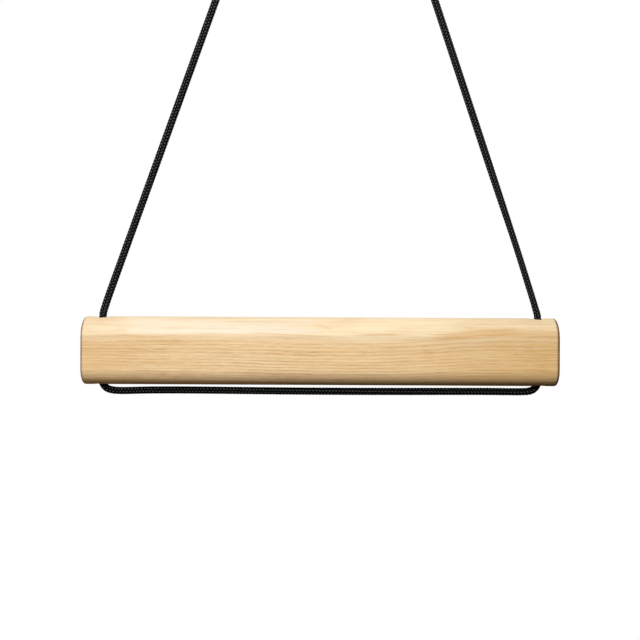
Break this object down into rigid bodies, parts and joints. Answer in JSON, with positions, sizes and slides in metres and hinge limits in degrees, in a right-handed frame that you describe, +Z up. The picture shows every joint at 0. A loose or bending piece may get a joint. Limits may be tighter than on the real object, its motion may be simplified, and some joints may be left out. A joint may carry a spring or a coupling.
{
  "type": "climbing hold",
  "caption": "Rounded wooden bar for hanging by the fingers, with a finger groove in its back, carried by a braided cord tied into eyes.",
  "frame": {"origin": "in the plane of the cord, straight above the middle of the bar, level with the two places where the eyes bear on what holds them", "axes": "+X along the bar, -Y towards its plain front face, +Y towards the back with the finger groove, +Z up"},
  "size_m": [0.42, 0.038, 0.4489],
  "materials": {
    "ash": "sanded, oiled satin",
    "black_braid": "matt braided cord"
  },
  "bodies": {
    "hanging_cord": {"cord_left_strand": "black_braid", "cord_right_strand": "black_braid", "cord_left_knot": "black_braid", "cord_right_knot": "black_braid"},
    "bar": {"wooden_bar": "ash", "cord_lower_run": "black_braid"}
  },
  "joints": [
    {"name": "bar_rock", "type": "hinge", "parent": "hanging_cord", "child": "bar", "pos_m": [0, 0, -0.372], "axis": [1, 0, 0], "range_deg": [-45, 45]}
  ]
}
